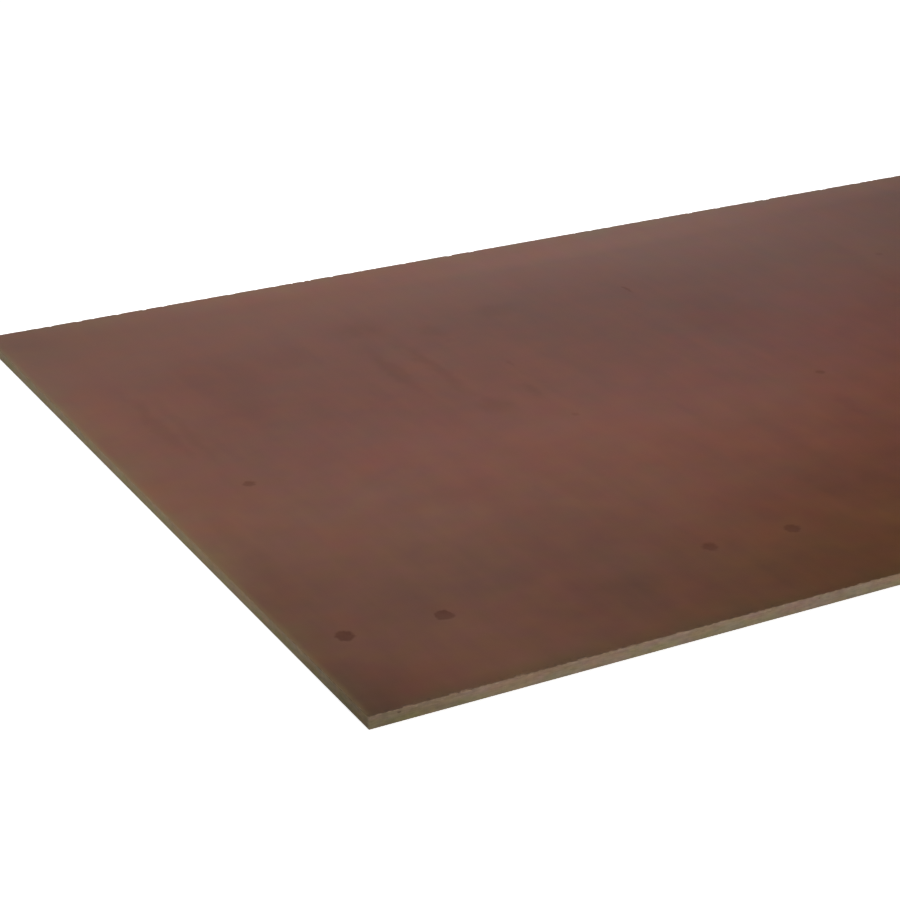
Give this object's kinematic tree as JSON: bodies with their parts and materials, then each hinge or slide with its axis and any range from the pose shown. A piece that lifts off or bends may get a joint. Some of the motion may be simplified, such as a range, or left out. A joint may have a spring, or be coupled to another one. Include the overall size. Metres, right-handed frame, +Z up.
{
  "type": "plywood sheet",
  "caption": "Flat rectangular plywood sheet with smooth brown film on both faces and sealed sawn edges, for formwork, floors and linings.",
  "frame": {"origin": "centre of the underside, on the surface that the sheet lies on", "axes": "+X along the length, +Y along the width and the face grain, +Z up out of the top face"},
  "size_m": [2.44, 1.22, 0.015],
  "materials": {
    "film_faced_plywood": "satin"
  },
  "bodies": {
    "root": {"plywood_sheet": "film_faced_plywood"}
  },
  "joints": []
}
